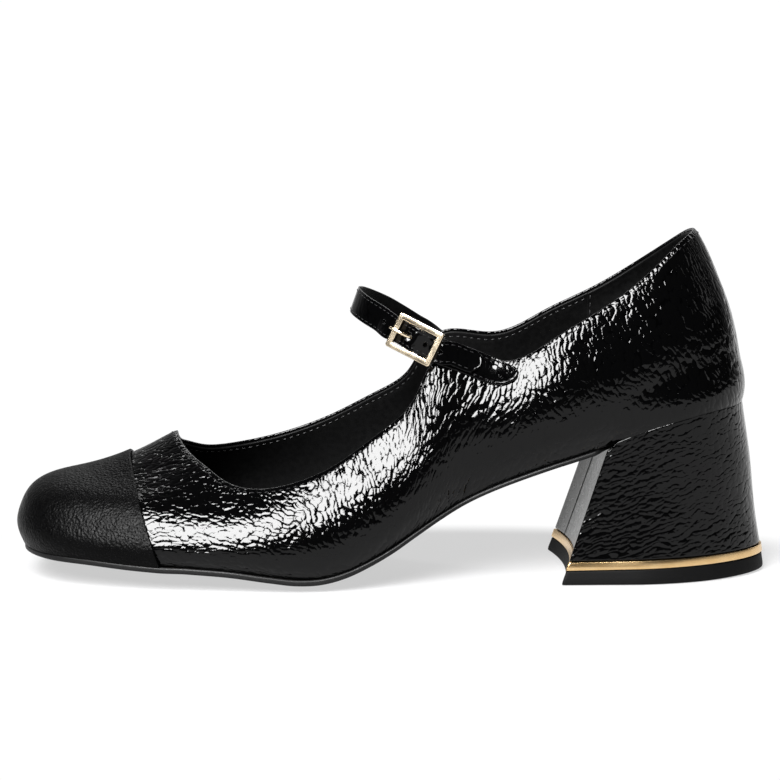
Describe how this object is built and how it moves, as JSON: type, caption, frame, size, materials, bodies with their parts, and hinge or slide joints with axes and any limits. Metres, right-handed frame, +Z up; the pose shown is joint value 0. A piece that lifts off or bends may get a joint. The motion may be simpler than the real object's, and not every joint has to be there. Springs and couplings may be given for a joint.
{
  "type": "block-heel mary jane shoe",
  "caption": "Left Mary Jane pump: patent upper, matte toe cap, buckled instep strap, flared block heel with a gold trim band.",
  "frame": {"origin": "centre of the bounding box in plan, on the ground under the sole", "axes": "+X towards the heel, toe at -X, lateral side at -Y, medial side at +Y, +Z up"},
  "size_m": [0.251, 0.0846, 0.1143],
  "materials": {
    "patent": "gloss",
    "cap_leather": "satin",
    "lining": "matte",
    "puff": "matte",
    "counter": "matte",
    "sole": "satin",
    "cork": "matte",
    "steel": "satin",
    "board": "matte",
    "foam": "matte",
    "sock": "satin",
    "core": "matte",
    "breast_leather": "satin",
    "gold": "gloss",
    "rubber": "matte",
    "buckle_gold": "gloss"
  },
  "bodies": {
    "root": {"upper": "patent", "toe_cap": "cap_leather", "toe_puff": "puff", "vamp_lining": "lining", "heel_lining": "lining", "heel_counter": "counter", "outsole": "sole", "bottom_filler": "cork", "shank": "steel", "insole_board": "board", "footbed_foam": "foam", "sock_lining": "sock", "heel_core": "core", "heel_cover": "patent", "breast_cover": "breast_leather", "heel_trim_band": "gold", "top_piece": "rubber", "top_piece_pin_1": "steel", "top_piece_pin_2": "steel", "heel_screw": "steel", "heel_nail_1": "steel", "heel_nail_2": "steel", "heel_nail_3": "steel", "heel_nail_4": "steel", "buckle_tab": "patent"},
    "strap": {"strap_face": "patent", "strap_lining": "lining"},
    "buckle": {"buckle_frame": "buckle_gold"},
    "prong": {"buckle_prong": "buckle_gold"}
  },
  "joints": [
    {"name": "strap_open", "type": "hinge", "parent": "root", "child": "strap", "pos_m": [0.01232, 0.02942, 0.07727], "axis": [-0.6553, 0.062, -0.7528], "range_deg": [0, 100], "deforming": ["strap_face", "strap_lining"]},
    {"name": "buckle_swing", "type": "hinge", "parent": "root", "child": "buckle", "pos_m": [0.00642, -0.02695, 0.0804], "axis": [0.4392, 0.0262, 0.898], "range_deg": [-20, 10]},
    {"name": "prong_lift", "type": "hinge", "parent": "buckle", "child": "prong", "pos_m": [0.00642, -0.02695, 0.0804], "axis": [0.4392, 0.0262, 0.898], "range_deg": [0, 95]}
  ]
}
